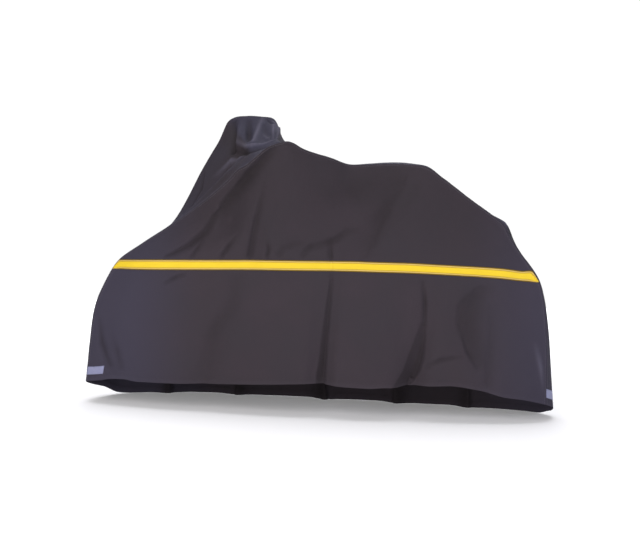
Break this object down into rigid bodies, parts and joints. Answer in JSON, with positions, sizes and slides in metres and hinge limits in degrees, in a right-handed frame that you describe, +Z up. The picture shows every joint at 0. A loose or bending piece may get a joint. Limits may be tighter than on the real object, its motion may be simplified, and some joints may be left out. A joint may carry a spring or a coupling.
{
  "type": "bicycle cover",
  "caption": "Sewn cloth cover that drops over a whole bicycle: two side panels and a top strip, open below, with a bright tape along each side.",
  "frame": {"origin": "on the ground under the middle of the cover", "axes": "+X to the rear wheel, -Y to the side that the handlebar leans and turns to, +Z up"},
  "size_m": [1.7577, 0.526, 1.0988],
  "materials": {
    "cloth": "matt woven cloth with a weatherproof coating inside",
    "tape": "bright yellow woven tape with paler edges",
    "label": "plain woven label, blue-grey"
  },
  "bodies": {
    "root": {"panel_left": "cloth", "panel_right": "cloth", "top_strip": "cloth", "tape_left": "tape", "tape_right": "tape", "label_front": "label", "label_rear": "label"}
  },
  "joints": []
}
